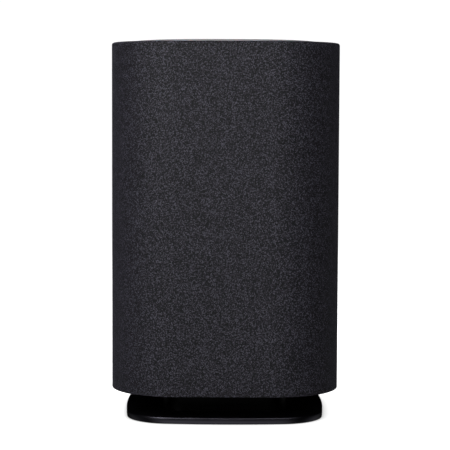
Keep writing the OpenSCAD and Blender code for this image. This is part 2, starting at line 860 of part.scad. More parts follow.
// Key cap flush with the panel, with a flange that stops it under the panel
module top_key(angle) {
  color("#1b1b1e") rotate(angle) translate([key_place, 0]) {
    post(key_r, panel_z - 0.4, panel_top);
    post(key_r + 1.2, panel_z - 0.7, panel_z - 0.2);
    post(3, mat_top, panel_z - 0.5);
  }
}

module volume_up_key() top_key(volume_up_angle);

module volume_down_key() top_key(volume_down_angle);

module action_key() top_key(action_angle);

module mute_key() top_key(mute_angle);

foot_pad();
base_plate();
base_screws();
neck();
neck_screws();
bottom_cover();
case_screws();
fabric_sleeve();
grille_sleeve();
chassis_frame();
main_board();
board_screws();
board_chips();
radio_shield();
heat_spreader();
ethernet_jack();
power_jack();
port_panel();
pair_button();
pair_switch();
wifi_antenna();
mesh_antenna();
enclosure_shell();
enclosure_screws();
front_baffle();
baffle_gasket();
baffle_screws();
woofer_basket();
woofer_top_plate();
woofer_magnet();
woofer_yoke();
woofer_voice_coil();
woofer_cone();
woofer_dust_cap();
woofer_surround();
woofer_spider();
woofer_screws();
tweeter_faceplate();
tweeter_magnet();
tweeter_dome();
left_radiator_frame();
left_radiator_cone();
left_radiator_surround();
right_radiator_frame();
right_radiator_cone();
right_radiator_surround();
top_frame();
mic_board();
microphones();
ring_leds();
key_switches();
key_mat();
control_panel();
light_ring();
top_carrier();
volume_up_key();
volume_down_key();
action_key();
mute_key();
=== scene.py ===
import math

import bpy
import numpy as np
from mathutils import Matrix, Vector


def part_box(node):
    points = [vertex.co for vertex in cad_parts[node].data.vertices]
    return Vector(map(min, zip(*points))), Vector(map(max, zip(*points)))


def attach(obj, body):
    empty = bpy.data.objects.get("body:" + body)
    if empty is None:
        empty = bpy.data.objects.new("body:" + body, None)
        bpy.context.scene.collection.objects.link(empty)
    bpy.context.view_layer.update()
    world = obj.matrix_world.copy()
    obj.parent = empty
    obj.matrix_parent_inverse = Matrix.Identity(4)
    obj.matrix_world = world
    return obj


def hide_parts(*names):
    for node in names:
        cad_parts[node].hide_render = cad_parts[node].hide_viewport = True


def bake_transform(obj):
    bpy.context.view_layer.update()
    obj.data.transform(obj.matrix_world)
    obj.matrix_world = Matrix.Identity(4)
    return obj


# The looks of a fabric-wrapped smart home hub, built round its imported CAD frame.
# Shapes are worked out in millimetres and placed in metres: x right, y back, z up.

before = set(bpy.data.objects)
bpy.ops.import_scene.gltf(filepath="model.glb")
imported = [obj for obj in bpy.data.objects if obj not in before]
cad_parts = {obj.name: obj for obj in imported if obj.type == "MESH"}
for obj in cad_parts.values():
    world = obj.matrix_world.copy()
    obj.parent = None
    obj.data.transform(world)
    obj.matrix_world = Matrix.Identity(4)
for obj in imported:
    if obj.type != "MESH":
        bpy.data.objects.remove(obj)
bpy.context.view_layer.update()

MM = 0.001


def span(node):
    """Width, lowest and highest level of a CAD node."""
    low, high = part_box(node)
    return (high[0] - low[0]) / MM, low[2] / MM, high[2] / MM


# Sizes that follow the CAD part
BODY_WIDTH, FABRIC_BOTTOM, FABRIC_TOP = span("fabric_sleeve")
RING_WIDTH, RING_BOTTOM, RING_TOP = span("light_ring")
BASE_WIDTH, BASE_BOTTOM, BASE_TOP = span("base_plate")
NECK_WIDTH, _, NECK_TOP = span("neck")
_, KEY_BOTTOM, PANEL_TOP = span("mute_key")
BODY_RADIUS, BASE_RADIUS, BASE_SIDE_RADIUS, NECK_RADIUS = 30.3, 20.3, 268, 9.4
FABRIC_THICKNESS = 0.8
TOP_OPENING, TOP_OPENING_RADIUS = RING_WIDTH + 1, 35.5
BOTTOM_OPENING = BODY_WIDTH - 12
RING_RADIUS, RING_FACE = 35, 2.5
SHELF_WIDTH, SHELF_RADIUS = RING_WIDTH - 10, 30
SHELF_BOTTOM, SHELF_TOP = FABRIC_TOP - 2.6, KEY_BOTTOM + 2
KEY_PLACE = 18
WINDOW_WIDTH, WINDOW_HEIGHT, WINDOW_RADIUS, WINDOW_Z = 43, 22, 3.5, 33.5


# ---------- Node materials ----------

def add_node(tree, kind, inputs=None, **settings):
    """Adds a node; inputs may be plain values or the output sockets of other nodes."""
    made = tree.nodes.new(kind)
    for name, value in settings.items():
        setattr(made, name, value)
    for key, value in (inputs or {}).items():
        if isinstance(value, bpy.types.NodeSocket):
            tree.links.new(value, made.inputs[key])
        else:
            made.inputs[key].default_value = value
    return made


def calculate(tree, operation, *values):
    """Output of a math node on sockets or numbers."""
    return add_node(tree, "ShaderNodeMath", dict(enumerate(values)), operation=operation).outputs[0]


def new_material(name):
    """An empty node material and its tree."""
    made = bpy.data.materials.new(name)
    made.use_nodes = True
    made.node_tree.nodes.clear()
    return made, made.node_tree


def plain_name(material):
    """A material's name without the number that is added when the name is taken."""
    return material.name.split(".")[0]


def shade(tree, colour, roughness, normal=None, **constants):
    """Ends a tree with one Principled shader. Constants are set on its own sockets."""
    inputs = {"Base Color": colour, "Roughness": roughness}
    if normal is not None:
        inputs["Normal"] = normal
    for name, value in constants.items():
        inputs[name.replace("_", " ").replace("Ior", "IOR")] = value
    shader = add_node(tree, "ShaderNodeBsdfPrincipled", inputs)
    add_node(tree, "ShaderNodeOutputMaterial", {"Surface": shader.outputs[0]})


def speckle(tree, place, size, detail=3.0):
    """Noise from 0 to 1 with features of about this size in metres."""
    settings = {"Vector": place, "Scale": 1 / size, "Detail": detail, "Roughness": 0.6}
    return add_node(tree, "ShaderNodeTexNoise", settings).outputs["Fac"]


def between(tree, amount, low, high):
    """Maps the usual spread of noise, 0.25 to 0.75, onto low to high."""
    limits = {"Value": amount, "From Min": 0.25, "From Max": 0.75, "To Min": low, "To Max": high}
    return add_node(tree, "ShaderNodeMapRange", limits).outputs[0]


def tinted(tree, amount, colour, vary):
    """The colour, made darker and lighter by a share of itself as amount goes from 0 to 1."""
    dark, light = ([c * (1 + side * vary) for c in colour] + [1] for side in (-1, 1))
    mixed = add_node(tree, "ShaderNodeMix", data_type="RGBA")
    tree.links.new(between(tree, amount, 0, 1), mixed.inputs["Factor"])
    mixed.inputs[6].default_value = dark
    mixed.inputs[7].default_value = light
    return mixed.outputs[2]


def moulded(name, colour, rough, grain=0.4, relief=0.01, vary=0.08, rough_vary=0.05, **constants):
    """Plastic, metal or rubber: a fine grain, a slow drift of tone and an uneven gloss.
    Grain and relief in mm."""
    made, tree = new_material(name)
    place = add_node(tree, "ShaderNodeTexCoord").outputs["Object"]
    drift = speckle(tree, place, 14 * MM)
    fine = speckle(tree, place, grain * MM)
    gloss = between(tree, drift, rough - rough_vary, rough + rough_vary)
    bump = add_node(tree, "ShaderNodeBump", {"Height": fine, "Distance": relief * MM, "Strength": 1.0})
    shade(tree, tinted(tree, drift, colour, vary), gloss, bump.outputs[0], **constants)
    return made


def brushed(name, colour, rough, stretch=(1, 1, 40), **constants):
    """Metal with fine drawn lines along one axis."""
    made, tree = new_material(name)
    place = add_node(tree, "ShaderNodeTexCoord").outputs["Object"]
    squeezed = add_node(tree, "ShaderNodeVectorMath", {0: place, 1: stretch}, operation="MULTIPLY")
    lines = speckle(tree, squeezed.outputs[0], 4 * MM, detail=6)
    bump = add_node(tree, "ShaderNodeBump", {"Height": lines, "Distance": 0.004 * MM})
    gloss = between(tree, lines, rough - 0.06, rough + 0.08)
    shade(tree, tinted(tree, lines, colour, 0.12), gloss, bump.outputs[0], Metallic=1.0, **constants)
    return made


# Spread of the stitches' brightness: floor + gain * random ** power
PALE_FLOOR, PALE_GAIN, PALE_POWER = 0.15, 3.74, 3.4


def arch(tree, value):
    """Rises from 0 to 1 and falls back over each whole step of the value."""
    wave = calculate(tree, "SINE", calculate(tree, "MULTIPLY", value, math.pi))
    return calculate(tree, "ABSOLUTE", wave)


def woven(name, colour, pitch, relief, uv=True, **constants):
    """Cloth of small round stitches in slanting rows. Most are dark and a few are pale, so that it
    looks heathered. Pitch and relief in mm."""
    made, tree = new_material(name)
    source = add_node(tree, "ShaderNodeTexCoord").outputs["UV" if uv else "Object"]
    slanted = {"Vector": source, "Rotation": (0, 0, math.pi / 4), "Scale": (1 / (pitch * MM),) * 3}
    place = add_node(tree, "ShaderNodeMapping", slanted).outputs[0]
    stitch = add_node(tree, "ShaderNodeVectorMath", {0: place}, operation="FLOOR").outputs[0]
    random = add_node(tree, "ShaderNodeTexWhiteNoise", {"Vector": stitch}, noise_dimensions="3D")
    tone = random.outputs["Value"]
    parts = add_node(tree, "ShaderNodeSeparateXYZ", {0: place}).outputs
    crossed = calculate(tree, "MULTIPLY", arch(tree, parts[0]), arch(tree, parts[1]))
    pillow = calculate(tree, "SQRT", crossed)
    powered = calculate(tree, "POWER", tone, PALE_POWER)
    pale = calculate(tree, "MULTIPLY_ADD", powered, PALE_GAIN, PALE_FLOOR)
    drift = between(tree, speckle(tree, source, 5 * pitch * MM, detail=2), 0.95, 1.05)
    drifting = calculate(tree, "MULTIPLY", pale, drift)
    # Painted shade: the stitches' colour is darker in the grooves between them and lighter on their
    # crowns.
    tone_with_groove_shade = calculate(tree, "MULTIPLY", drifting, between(tree, pillow, 0.6, 1.15))
    tint = add_node(tree, "ShaderNodeVectorMath", {0: colour, "Scale": tone_with_groove_shade}, operation="SCALE")
    height = calculate(tree, "ADD", pillow, calculate(tree, "MULTIPLY", tone, 0.4))
    bump = add_node(tree, "ShaderNodeBump", {"Height": height, "Distance": relief * MM, "Strength": 1.0})
    shade(tree, tint.outputs[0], between(tree, tone, 0.46, 0.56), bump.outputs[0], **constants)
    return made


MATERIALS = {plain_name(made): made for made in (
    woven(
        "charcoal_fabric", (0.03, 0.0286, 0.0378), 0.37, 0.05, Sheen_Weight=0.06,
        Sheen_Roughness=0.35, Sheen_Tint=(0.8, 0.8, 0.95, 1), Specular_IOR_Level=0.25),
    moulded(
        "gloss_black", (0.006, 0.006, 0.007), 0.07, grain=2.5, relief=0.001, rough_vary=0.02,
        Coat_Weight=0.6, Coat_Roughness=0.03),
    moulded("satin_black", (0.012, 0.012, 0.0125), 0.36, grain=0.25, relief=0.006),
    moulded("base_metal", (0.074, 0.071, 0.088), 0.3, grain=0.3, relief=0.005, Metallic=1.0),
    moulded("foot_rubber", (0.018, 0.018, 0.019), 0.8, grain=0.6, relief=0.03),
    brushed("screw_steel", (0.33, 0.33, 0.34), 0.32),
    moulded("grille_steel", (0.02, 0.02, 0.021), 0.5, grain=0.3, relief=0.01),
    moulded("inner_plastic", (0.022, 0.022, 0.024), 0.55, grain=0.35, relief=0.02),
    moulded("circuit_board", (0.01, 0.055, 0.028), 0.4, grain=1.2, relief=0.01, vary=0.25),
    moulded("chip_plastic", (0.02, 0.02, 0.021), 0.5, grain=0.2, relief=0.01),
    brushed("tinned_steel", (0.55, 0.55, 0.54), 0.3),
    brushed("aluminium", (0.6, 0.61, 0.62), 0.35),
    moulded("antenna_film", (0.35, 0.17, 0.03), 0.35, grain=2, relief=0.004, vary=0.2),
    moulded(
        "light_guide", (0.34, 0.34, 0.36), 0.42, grain=0.5, relief=0.004, vary=0.04,
        Subsurface_Weight=0.25, Subsurface_Scale=0.001),
    moulded("key_plastic", (0.013, 0.013, 0.014), 0.33, grain=0.3, relief=0.006),
    moulded("silicone", (0.05, 0.05, 0.052), 0.65, grain=0.5, relief=0.02),
    moulded("foam_gasket", (0.03, 0.03, 0.03), 0.9, grain=0.7, relief=0.15, vary=0.3),
    moulded("magnet_ferrite", (0.035, 0.035, 0.037), 0.6, grain=0.8, relief=0.03, vary=0.2),
    brushed("motor_steel", (0.42, 0.41, 0.4), 0.36),
    brushed("copper_coil", (0.72, 0.32, 0.14), 0.3, stretch=(1, 60, 1)),
    moulded("cone_paper", (0.02, 0.02, 0.021), 0.75, grain=0.8, relief=0.05, vary=0.25),
    moulded("surround_rubber", (0.014, 0.014, 0.014), 0.6, grain=0.5, relief=0.01),
    woven("spider_cloth", (0.35, 0.22, 0.06), 0.6, 0.1, uv=False),
    woven("dome_silk", (0.02, 0.02, 0.022), 0.35, 0.03, uv=False),
    moulded("button_grey", (0.09, 0.09, 0.095), 0.4, grain=0.3, relief=0.008),
    moulded("led_white", (0.75, 0.73, 0.62), 0.3, grain=0.8, relief=0.004),
    brushed("mic_can", (0.75, 0.6, 0.3), 0.28),
)}
# The neck's own darker, less glossy copy of satin_black: painted shade, as the neck sits in the shadow
# under the body.
NECK_SHADED_BLACK = moulded(
    "neck_shaded_black", (0.002, 0.002, 0.002), 0.3, grain=0.25, relief=0.003, Specular_IOR_Level=0.12)
CONTACT_GOLD = brushed("contact_gold", (0.83, 0.6, 0.22), 0.22)
KEY_PRINT = moulded("key_print", (0.42, 0.42, 0.43), 0.5, grain=0.2, relief=0.002, vary=0.05)
THREAD = moulded("thread", (0.035, 0.034, 0.039), 0.7, grain=0.12, relief=0.04, vary=0.3)


# ---------- Outlines and lofts ----------

# Angles round the axis from the middle of the back, closer together beside the fabric's seam
SEAM_STEPS = [0.2, 0.45, 0.7, 0.95]
EVEN_ANGLES = np.linspace(0, 2 * math.pi, 288, endpoint=False)
SEAM_ANGLES = [
    side * math.atan2(step, BODY_WIDTH / 2) % (2 * math.pi) for side in (-1, 1) for step in SEAM_STEPS]
TURNS = np.sort(np.concatenate([EVEN_ANGLES, SEAM_ANGLES]))
STRAIGHT = 1e5


def reach(width, radius, side_radius=STRAIGHT):
    """Distance from the axis to a rounded square at every turn. A finite side_radius bows its sides."""
    behind = side_radius - width / 2
    core = (math.sqrt(2 * (side_radius - radius) ** 2 - behind ** 2) - behind) / 2
    grow = side_radius / (side_radius - radius)
    tangent = math.atan2(core * grow, (core + behind) * grow - behind)
    turn = np.abs((TURNS + math.pi / 4) % (math.pi / 2) - math.pi / 4)
    along = -behind * np.cos(turn)
    side = along + np.sqrt(along ** 2 - behind ** 2 + side_radius ** 2)
    toward = core * (np.cos(turn) + np.sin(turn))
    corner = toward + np.sqrt(np.maximum(toward ** 2 - 2 * core ** 2 + radius ** 2, 0))
    return np.where(turn < tangent, side, corner)


def ring(width, radius, z, side_radius=STRAIGHT):
    """One loop of points, from the middle of the back and anticlockwise seen from above."""
    far = reach(width, radius, side_radius)
    return np.stack([-far * np.sin(TURNS), far * np.cos(TURNS), np.full(len(far), float(z))], axis=1)


def rounded(width, radius, z, size, inward, upward, steps=5):
    """Rings round a quarter-circle edge of this size, from the side face to the flat face."""
    rings = []
    for step in range(steps + 1):
        turn = step / steps * math.pi / 2
        inset = size * (1 - math.cos(turn)) * inward
        rings.append((width - 2 * inset, radius - inset, z - upward * size * (1 - math.sin(turn))))
    return rings


def mesh_object(name, points, faces, material, uvs=None, sharp=35):
    """A smooth-shaded object from points in mm, with edges sharper than `sharp` degrees kept crisp."""
    mesh = bpy.data.meshes.new(name)
    mesh.from_pydata([tuple(p) for p in np.asarray(points) * MM], [], faces)
    if uvs is not None:
        layer = mesh.uv_layers.new(name="UVMap")
        layer.data.foreach_set("uv", np.asarray(uvs, np.float32).ravel())
    mesh.validate()
    mesh.shade_smooth()
    mesh.set_sharp_from_angle(angle=math.radians(sharp))
    mesh.materials.append(material)
    made = bpy.data.objects.new(name, mesh)
    bpy.context.scene.collection.objects.link(made)
    return made


def running_length(points):
    """Length along a line of points, from 0 at the first."""
    return np.concatenate([[0], np.cumsum(np.linalg.norm(np.diff(points, axis=0), axis=1))])


def loft(name, loops, material, closed=True, sharp=35):
    """A skin through loops of points. Closed joins the last loop to the first; open ends are capped.
    Its UV map is in metres, round the loops and across them."""
    count, size = len(loops), len(TURNS)
    points = np.concatenate(loops)
    typical = loops[count // 3]
    across = running_length(np.vstack([typical, typical[:1]]))
    along = running_length([loop[0] for loop in [*loops, loops[0]]])
    faces, uvs = [], []
    for row in range(count if closed else count - 1):
        above = (row + 1) % count
        for i in range(size):
            j = (i + 1) % size
            faces.append((row * size + i, row * size + j, above * size + j, above * size + i))
            uvs += [(across[i], along[row]), (across[i + 1], along[row]),
                    (across[i + 1], along[row + 1]), (across[i], along[row + 1])]
    if not closed:
        faces.append(tuple(reversed(range(size))))
        faces.append(tuple(range((count - 1) * size, count * size)))
        uvs += [tuple(p[:2]) for p in loops[0][::-1]] + [tuple(p[:2]) for p in loops[-1]]
    return mesh_object(name, points, faces, material, np.array(uvs) * MM, sharp)


def finish_piece(obj, body, slot, *replaced):
    """Puts a piece on its body and in place of CAD nodes. The slot is not used."""
    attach(obj, body)
    if replaced:
        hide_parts(*replaced)
    return obj


def cut(obj, cutter):
    """Takes the cutter away from the object and removes it."""
    step = obj.modifiers.new("cut", "BOOLEAN")
    step.operation = "DIFFERENCE"
    step.solver = "EXACT"
    step.object = cutter
    bpy.context.view_layer.update()
    shaped = obj.evaluated_get(bpy.context.evaluated_depsgraph_get())
    old = obj.data
    obj.modifiers.clear()
    obj.data = bpy.data.meshes.new_from_object(shaped)
    obj.data.name = obj.name
    bpy.data.meshes.remove(old)
    bpy.data.objects.remove(cutter)


def slabs(name, parts, material, to_3d=lambda x, y, z: (x, y, z)):
    """One object of flat slabs. Each part is an anticlockwise outline and two heights."""
    points, faces = [], []
    for outline, low, high in parts:
        start, size = len(points), len(outline)
        points += [to_3d(x, y, z) for z in (low, high) for x, y in outline]
        for i in range(size):
            j = (i + 1) % size
            faces.append((start + i, start + j, start + size + j, start + size + i))
        faces.append(tuple(start + i for i in reversed(range(size))))
        faces.append(tuple(start + size + i for i in range(size)))
    return mesh_object(name, points, faces, material)


def revolve(name, profile, material, to_3d, steps=96):
    """A solid turned about its own axis. Its profile of (radius, height) starts and ends on the axis."""
    inner = profile[1:-1]
    points = [to_3d(0, 0, profile[0][1]), to_3d(0, 0, profile[-1][1])]
    for radius, height in inner:
        for step in range(steps):
            turn = 2 * math.pi * step / steps
            points.append(to_3d(radius * math.cos(turn), radius * math.sin(turn), height))
    faces = []
    for step in range(steps):
        after = (step + 1) % steps
        faces.append((0, 2 + after, 2 + step))
        last = 2 + (len(inner) - 1) * steps
        faces.append((1, last + step, last + after))
        for row in range(len(inner) - 1):
            low, high = 2 + row * steps, 2 + (row + 1) * steps
            faces.append((low + step, low + after, high + after, high + step))
    return mesh_object(name, points, faces, material)


def arc_strip(inner, outer, start, end, centre=(0, 0), steps=24):
    """Anticlockwise outline of part of a ring, between two angles in degrees."""
    turns = [math.radians(start + (end - start) * i / steps) for i in range(steps + 1)]
    x, y = centre
    out = [(x + outer * math.cos(t), y + outer * math.sin(t)) for t in turns]
    back = [(x + inner * math.cos(t), y + inner * math.sin(t)) for t in reversed(turns)]
    return out + back


def rounded_box_outline(width, height, radius, steps=8):
    """Anticlockwise points round a rounded rectangle centred on the origin."""
    points = []
    for corner, (sx, sy) in enumerate([(1, 1), (-1, 1), (-1, -1), (1, -1)]):
        for step in range(steps + 1):
            turn = (corner + step / steps) * math.pi / 2
            points.append((sx * (width / 2 - radius) + radius * math.cos(turn),
                           sy * (height / 2 - radius) + radius * math.sin(turn)))
    return points


def bar(x, y, width, height, turn=0.0, radius=0.12):
    """Outline of a bar with round corners, centred on (x, y) and turned by an angle in degrees."""
    c, s = math.cos(math.radians(turn)), math.sin(math.radians(turn))
    corner = min(radius, width / 2.01, height / 2.01)
    return [(x + c * px - s * py, y + s * px + c * py)
            for px, py in rounded_box_outline(width, height, corner, 4)]


def on_back(x0, z0, y0=0.0):
    """Places a drawing on the back. Its x runs to the object's left, to read well from behind."""
    return lambda x, y, z: (x0 - x, y0 + z, z0 + y)


def on_top(x0, y0):
    """Places a drawing on the top."""
    return lambda x, y, z: (x0 + x, y0 + y, z)


# ---------- Fabric sleeve ----------

def seam_groove(loop, depth=0.35, half=0.75):
    """Presses the sleeve's back seam into a loop, as a narrow valley."""
    beside = np.where(loop[:, 1] > 0, np.abs(loop[:, 0]), half)
    valley = np.clip(1 - beside / half, 0, 1) ** 2
    loop[:, 1] -= depth * valley
    return loop


def sleeve_loops():
    """The sleeve's section, once round: bottom edge, outer face, top edge, top lip, inner face."""
    top_edge, bottom_edge = 1.1, 0.4
    inner_width, inner_radius = BODY_WIDTH - 2 * FABRIC_THICKNESS, BODY_RADIUS - FABRIC_THICKNESS
    inner_top, inner_bottom = FABRIC_TOP - FABRIC_THICKNESS, FABRIC_BOTTOM + FABRIC_THICKNESS
    bottom_radius = BODY_RADIUS - (BODY_WIDTH - BOTTOM_OPENING) / 2
    heights = np.linspace(FABRIC_BOTTOM + bottom_edge, FABRIC_TOP - top_edge, 16)[1:-1]
    below = [(BOTTOM_OPENING, bottom_radius, FABRIC_BOTTOM)]
    below += reversed(rounded(BODY_WIDTH, BODY_RADIUS, FABRIC_BOTTOM, bottom_edge, 1, -1))
    seamed = [(BODY_WIDTH, BODY_RADIUS, z) for z in heights]
    seamed += rounded(BODY_WIDTH, BODY_RADIUS, FABRIC_TOP, top_edge, 1, 1, 8)
    inside = [(TOP_OPENING + 0.6, TOP_OPENING_RADIUS + 0.3, FABRIC_TOP),
              (TOP_OPENING, TOP_OPENING_RADIUS, FABRIC_TOP - 0.3),
              (TOP_OPENING, TOP_OPENING_RADIUS, inner_top)]
    inner_edge = top_edge - FABRIC_THICKNESS
    inside += reversed(rounded(inner_width, inner_radius, inner_top, inner_edge, 1, 1, 4))
    inside += [(inner_width, inner_radius, z) for z in reversed(heights)]
    inside += [(inner_width, inner_radius, inner_bottom + 0.4),
               (BOTTOM_OPENING, bottom_radius, inner_bottom)]
    outside = [seam_groove(ring(*level)) for level in seamed]
    return [ring(*level) for level in below] + outside + [ring(*level) for level in inside]


def fabric_sleeve():
    """The knitted sleeve, with the window for the sockets cut in its back."""
    sleeve = loft("fabric_cover", sleeve_loops(), MATERIALS["charcoal_fabric"], sharp=80)
    outline = rounded_box_outline(WINDOW_WIDTH, WINDOW_HEIGHT, WINDOW_RADIUS)
    beyond = BODY_WIDTH / 2 + 8
    window = [(outline, beyond - 20, beyond)]
    cut(sleeve, slabs("opening", window, MATERIALS["charcoal_fabric"], on_back(0, WINDOW_Z)))
    finish_piece(sleeve, "housing", "charcoal_fabric", "fabric_sleeve")


fabric_sleeve()


# ---------- Top: light ring ----------

def light_ring():
    """The frosted light guide that edges the top, with the shelf inside that carries the panel."""
    inner_width, inner_radius = RING_WIDTH - 2 * RING_FACE, RING_RADIUS - RING_FACE
    outer_edge = rounded(RING_WIDTH, RING_RADIUS, RING_TOP, 0.6, 1, 1, 6)
    inner_edge = rounded(inner_width, inner_radius, RING_TOP, 0.25, -1, 1, 4)
    rings = [(RING_WIDTH, RING_RADIUS, RING_BOTTOM)] + outer_edge + list(reversed(inner_edge))
    rings += [(inner_width, inner_radius, SHELF_TOP), (SHELF_WIDTH, SHELF_RADIUS, SHELF_TOP),
              (SHELF_WIDTH, SHELF_RADIUS, SHELF_BOTTOM), (inner_width, inner_radius, SHELF_BOTTOM),
              (inner_width, inner_radius, RING_BOTTOM)]
    made = loft("light_guide_ring", [ring(*r) for r in rings], MATERIALS["light_guide"])
    return finish_piece(made, "housing", "light_guide", "light_ring")


light_ring()


# ---------- Base: plate and neck ----------

def base_plate():
    """The thin plate, with softly bowed sides and a bright bevel round its top edge."""
    def plate_ring(inset, z):
        return ring(BASE_WIDTH - 2 * inset, BASE_RADIUS - inset, z, BASE_SIDE_RADIUS - inset)
    profile = [(0.1, BASE_BOTTOM), (0, BASE_BOTTOM + 0.1), (0, BASE_TOP - 0.55),
               (0.06, BASE_TOP - 0.42), (0.42, BASE_TOP - 0.06), (0.55, BASE_TOP)]
    loops = [plate_ring(inset, z) for inset, z in profile]
    made = loft("base_disc", loops, MATERIALS["base_metal"], closed=False, sharp=50)
    return finish_piece(made, "housing", "base_metal", "base_plate")


def neck():
    """The recessed column between the plate and the speaker."""
    rings = [(NECK_WIDTH, NECK_RADIUS, BASE_TOP), (NECK_WIDTH, NECK_RADIUS, NECK_TOP)]
    loops = [ring(*r) for r in rings]
    # Painted shade: the neck wears the darker copy of satin_black.
    made = loft("neck_shell", loops, NECK_SHADED_BLACK, closed=False)
    return finish_piece(made, "housing", "satin_black", "neck")


base_plate()
neck()


# ---------- Top: keys ----------

KEY_RADIUS, KEY_EDGE = 6.5, 0.3
PRINT_HEIGHT = 0.03
PLUS = [bar(-1.2, 0, 1.8, 0.5), bar(1.2, 0, 1.8, 0.5), bar(0, 0, 0.5, 4.2)]
MINUS = [bar(0, 0, 4.2, 0.5)]
DOT = [arc_strip(0, 0.75, 0, 359, steps=32)]
MICROPHONE = [bar(0, 0.65, 1.25, 2.4, radius=0.6), arc_strip(1.15, 1.5, 180, 360, (0, 0.35)),
              bar(0, -1.5, 0.35, 0.7), bar(0, -2.0, 1.6, 0.3)]
SLASH = bar(0, 0, 0.4, 5.4, 45)
# Place of each key, its CAD node, and what is printed on it
KEYS = {
    "volume_up": ((KEY_PLACE, 0), "volume_up_key", PLUS),
    "volume_down": ((-KEY_PLACE, 0), "volume_down_key", MINUS),
    "action": ((0, -KEY_PLACE), "action_key", DOT),
    "mute": ((0, KEY_PLACE), "mute_key", MICROPHONE),
}


def key_cap(body, place, node, symbol):
    """A key: stem, retaining flange, and a cap with a rounded rim and its printed symbol."""
    rim = [(KEY_RADIUS - KEY_EDGE * (1 - math.cos(t)), PANEL_TOP - KEY_EDGE * (1 - math.sin(t)))
           for t in np.linspace(0, math.pi / 2, 5)]
    stem_radius, flange_radius = 3, KEY_RADIUS + 1.2
    flange_bottom, flange_top = KEY_BOTTOM + 1.3, KEY_BOTTOM + 1.8
    profile = [(0, KEY_BOTTOM), (stem_radius, KEY_BOTTOM), (stem_radius, flange_bottom),
               (flange_radius, flange_bottom), (flange_radius, flange_top), (KEY_RADIUS, flange_top)]
    profile += rim + [(0, PANEL_TOP)]
    cap = revolve(f"{body}_cap", profile, MATERIALS["key_plastic"], on_top(*place))
    finish_piece(cap, body, "key_plastic", node)
    parts = [(outline, PANEL_TOP, PANEL_TOP + PRINT_HEIGHT) for outline in symbol]
    if body == "mute":
        parts.append((SLASH, PANEL_TOP + PRINT_HEIGHT, PANEL_TOP + 2 * PRINT_HEIGHT))
    print_piece = slabs(f"{body}_print", parts, KEY_PRINT, on_top(*place))
    finish_piece(print_piece, body, "key_plastic")


for key_body, (key_place, key_node, key_symbol) in KEYS.items():
    key_cap(key_body, key_place, key_node, key_symbol)


# ---------- Back: sockets, signs and seam ----------

ETHERNET_X, POWER_X, PAIR_X = 9.5, -6.5, -15.5
PORT_FLOOR_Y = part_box("ethernet_jack")[1][1] / MM


def network_contacts():
    """Eight sprung gold wires that slope up from the lip of the socket."""
    slope = [(PORT_FLOOR_Y - back, z) for back, z in (
        (0.6, 30.45), (0.8, 30.85), (6.3, 33.6), (6.8, 33.5), (6.8, 33.2), (6.4, 33.1))]
    count, pitch, half_wire = 8, 1.02, 0.2
    for number in range(count):
        middle = ETHERNET_X + (number - (count - 1) / 2) * pitch
        parts = [(slope, middle - half_wire, middle + half_wire)]
        wire = slabs(f"network_contact_{number}", parts, CONTACT_GOLD, lambda y, z, x: (x, y, z))
        finish_piece(wire, "housing", "tinned_steel")


def power_contacts():
    """Two rows of pads on the tongue of the power socket."""
    tongue_z, half_tongue, thick = 29.25, 0.35, 0.03
    count, pitch = 12, 0.5
    for name, side in (("bottom", -1), ("top", 1)):
        face = tongue_z + side * half_tongue
        low, high = sorted((face, face + side * thick))
        places = [POWER_X + (pad - (count - 1) / 2) * pitch for pad in range(count)]
        parts = [(bar(x, PORT_FLOOR_Y - 3.5, 0.26, 3.4, radius=0.05), low, high) for x in places]
        pads = slabs(f"power_contacts_{name}", parts, CONTACT_GOLD)
        finish_piece(pads, "housing", "tinned_steel")


def port_signs():
    """Small generic signs beside the sockets: a network of three, a power ring, and a link button."""
    network = [bar(0, 0.62, 0.7, 0.5, radius=0.05), bar(0, 0.2, 0.16, 0.34, radius=0.02),
               bar(0, -0.03, 2.1, 0.12, radius=0.02), bar(-0.97, -0.25, 0.16, 0.32, radius=0.02),
               bar(0.97, -0.25, 0.16, 0.32, radius=0.02), bar(-0.97, -0.66, 0.7, 0.5, radius=0.05),
               bar(0.97, -0.66, 0.7, 0.5, radius=0.05)]
    power = [arc_strip(0.95, 1.25, 125, 415), bar(0, 0.85, 0.3, 1.2, radius=0.1)]
    link = [arc_strip(inner, inner + 0.25, middle - 50, middle + 50)
            for middle in (0, 180) for inner in (0.75, 1.35)]
    link.append(arc_strip(0, 0.4, 0, 359))
    signs = {"network": (ETHERNET_X, 40.75, network), "power": (POWER_X, 33.6, power),
             "link": (PAIR_X, 38.6, link)}
    for name, (x, z, drawing) in signs.items():
        parts = [(outline, 0, PRINT_HEIGHT) for outline in drawing]
        sign = slabs(f"{name}_sign", parts, KEY_PRINT, on_back(x, z, PORT_FLOOR_Y))
        finish_piece(sign, "housing", "satin_black")


def stitch_ring(middle_z, share, around):
    """One ring of a stitch, at a share from -1 to 1 of its length. Both ends dive into the cloth."""
    half_length, rise, radius = 0.75, 0.35, 0.17
    thick = radius * math.sqrt(max(1 - share ** 4, 0.02))
    y = BODY_WIDTH / 2 - 0.22 * (1 - share ** 2) - 0.1 * abs(share)
    x, z = share * half_length, middle_z + share * rise
    turns = [2 * math.pi * step / around for step in range(around)]
    return [(x, y + thick * math.cos(turn), z + thick * math.sin(turn)) for turn in turns]


def seam_stitches():
    """Short slanted stitches that close the sleeve's back seam, from the window to the top edge."""
    lowest, spacing, count = 47.5, 2, 61
    around, rows = 6, 7
    points, faces = [], []
    for number in range(count):
        start = len(points)
        for share in np.linspace(-1, 1, rows):
            points += stitch_ring(lowest + number * spacing, share, around)
        for row in range(rows - 1):
            for step in range(around):
                low, high = start + row * around, start + (row + 1) * around
                after = (step + 1) % around
                faces.append((low + step, high + step, high + after, low + after))
        faces.append(tuple(start + step for step in range(around)))
        faces.append(tuple(start + (rows - 1) * around + step for step in reversed(range(around))))
    stitches = mesh_object("seam_stitches", points, faces, THREAD, sharp=80)
    finish_piece(stitches, "housing", "charcoal_fabric")


network_contacts()
power_contacts()
port_signs()
seam_stitches()
